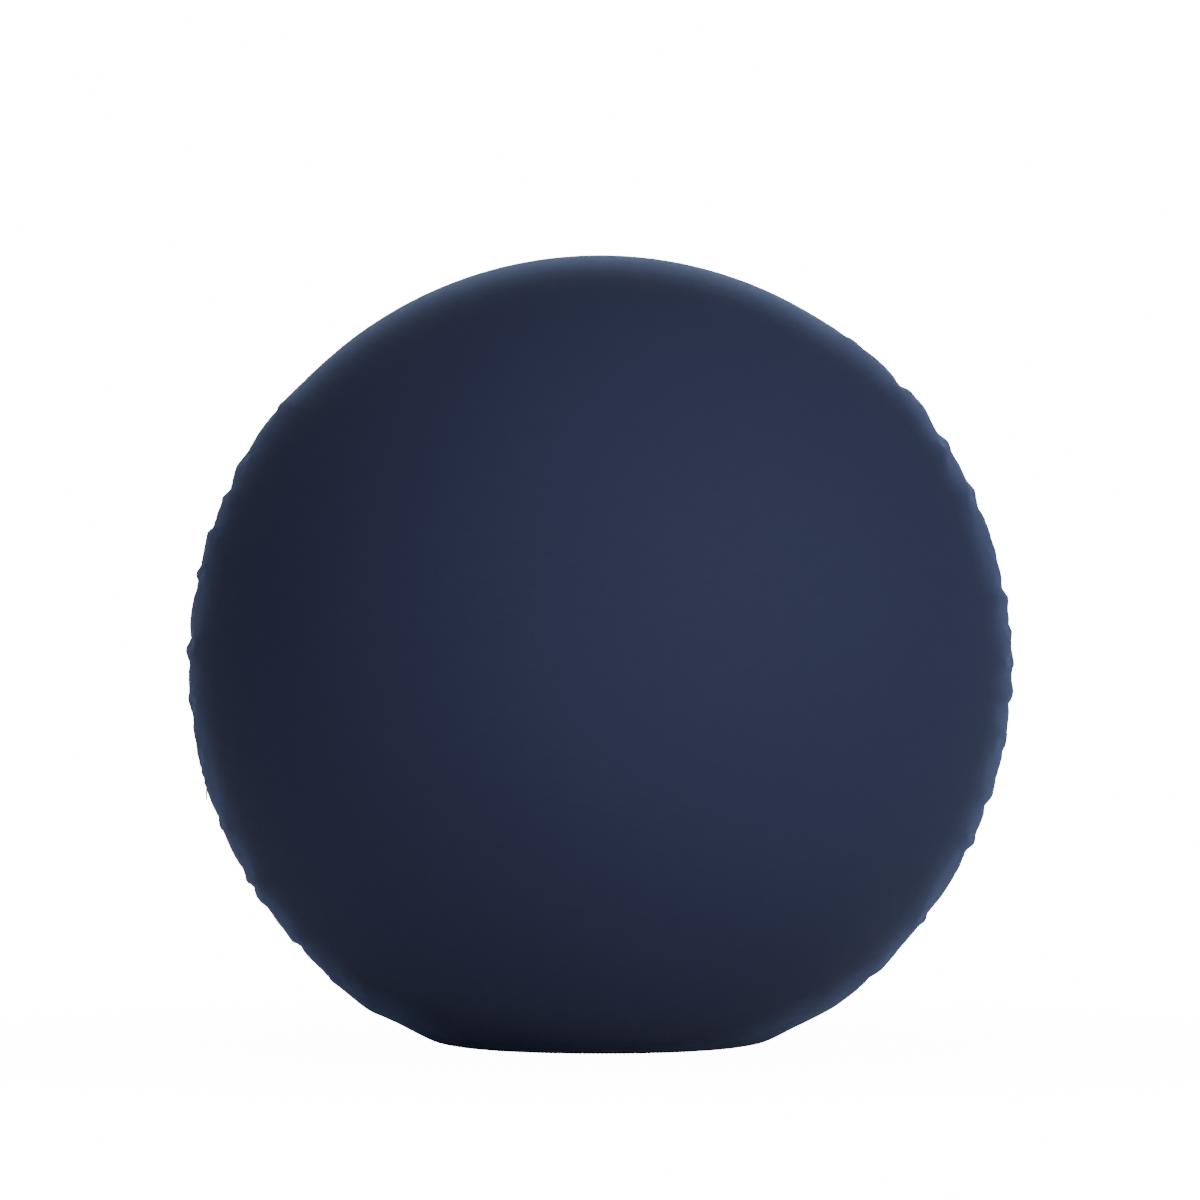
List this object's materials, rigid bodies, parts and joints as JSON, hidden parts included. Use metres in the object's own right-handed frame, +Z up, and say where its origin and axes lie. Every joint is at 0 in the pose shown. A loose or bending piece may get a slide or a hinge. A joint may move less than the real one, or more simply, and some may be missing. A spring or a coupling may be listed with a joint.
{
  "type": "ball seat",
  "caption": "Inflated ball seat in a zipped stretch-knit cover, standing on a flat weighted base with an anti-slip disc.",
  "frame": {"origin": "centre of the flat base, on the floor", "axes": "+Z up; -Y is the front; the zipped side seam is on -X"},
  "size_m": [0.65, 0.65, 0.625],
  "materials": {
    "cover_knit": "matte",
    "binding_tape": "matte",
    "anti_slip_base": "matte",
    "zip_coil": "satin",
    "zip_metal": "polished",
    "bladder_vinyl": "satin",
    "valve_plastic": "satin",
    "plate_plastic": "matte",
    "ballast_steel": "satin",
    "pad_foam": "matte"
  },
  "bodies": {
    "ball": {"cover_front_panel": "cover_knit", "cover_back_panel": "cover_knit", "side_seam_binding": "binding_tape", "base_panel": "anti_slip_base", "base_seam_binding": "binding_tape", "zip_tape_front": "binding_tape", "zip_tape_back": "binding_tape", "zip_coil_front": "zip_coil", "zip_coil_back": "zip_coil", "zip_top_stop_front": "zip_metal", "zip_top_stop_back": "zip_metal", "zip_bottom_stop": "zip_metal", "bladder": "bladder_vinyl", "valve_seat": "bladder_vinyl", "valve_plug": "valve_plastic", "base_plate": "plate_plastic", "ballast_ring": "ballast_steel", "plate_pad": "pad_foam"},
    "slider": {"zip_slider": "zip_metal"},
    "pull": {"zip_pull": "zip_metal"}
  },
  "joints": [
    {"name": "zip_travel", "type": "hinge", "parent": "ball", "child": "slider", "pos_m": [0, 0, 0.3], "axis": [0, -1, 0], "range_deg": [0, 43.7]},
    {"name": "pull_swing", "type": "hinge", "parent": "slider", "child": "pull", "pos_m": [-0.31188, 0, 0.20649], "axis": [0, 1, 0], "range_deg": [-14, 150]}
  ]
}
